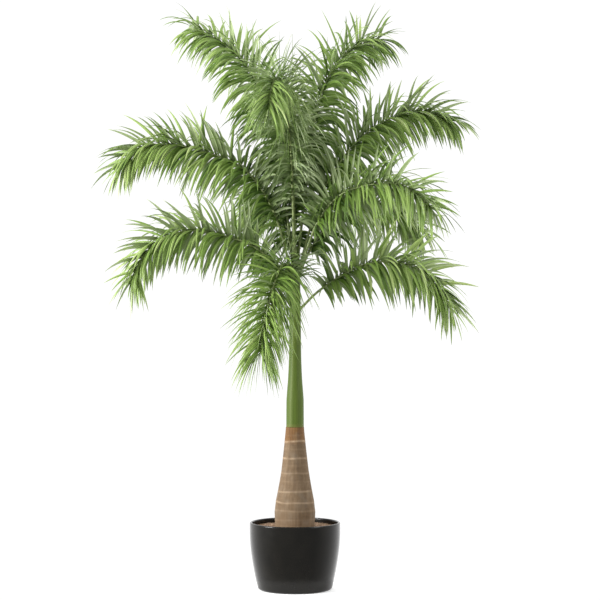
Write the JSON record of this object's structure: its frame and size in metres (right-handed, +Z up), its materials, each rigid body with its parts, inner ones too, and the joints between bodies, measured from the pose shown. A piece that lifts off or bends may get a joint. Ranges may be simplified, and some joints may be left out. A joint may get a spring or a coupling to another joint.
{
  "type": "potted palm",
  "caption": "Tall live palm in a round dark planter: ringed tapering trunk, smooth green crownshaft and arching feathery fronds.",
  "frame": {"origin": "centre of the planter's flat underside, on the surface that it stands on", "axes": "+Z up the trunk, +X to the right seen from the front, -Y towards the front, where the lowest frond hangs"},
  "size_m": [1.8623, 1.5091, 2.9281],
  "materials": {
    "planter_shell": "satin",
    "potting_soil": "matte",
    "trunk_bark": "matte",
    "crownshaft_skin": "satin",
    "frond_leaf": "satin"
  },
  "bodies": {
    "root": {"pot": "planter_shell", "soil": "potting_soil", "trunk": "trunk_bark", "crownshaft": "crownshaft_skin", "spear_leaf": "frond_leaf", "frond_low_front": "frond_leaf", "frond_low_right": "frond_leaf", "frond_low_left": "frond_leaf", "frond_front_right": "frond_leaf", "frond_back_right": "frond_leaf", "frond_back_left": "frond_leaf", "frond_mid_left": "frond_leaf", "frond_mid_right": "frond_leaf", "frond_back": "frond_leaf", "frond_top_left": "frond_leaf", "frond_top_right": "frond_leaf", "frond_top_front": "frond_leaf"}
  },
  "joints": []
}
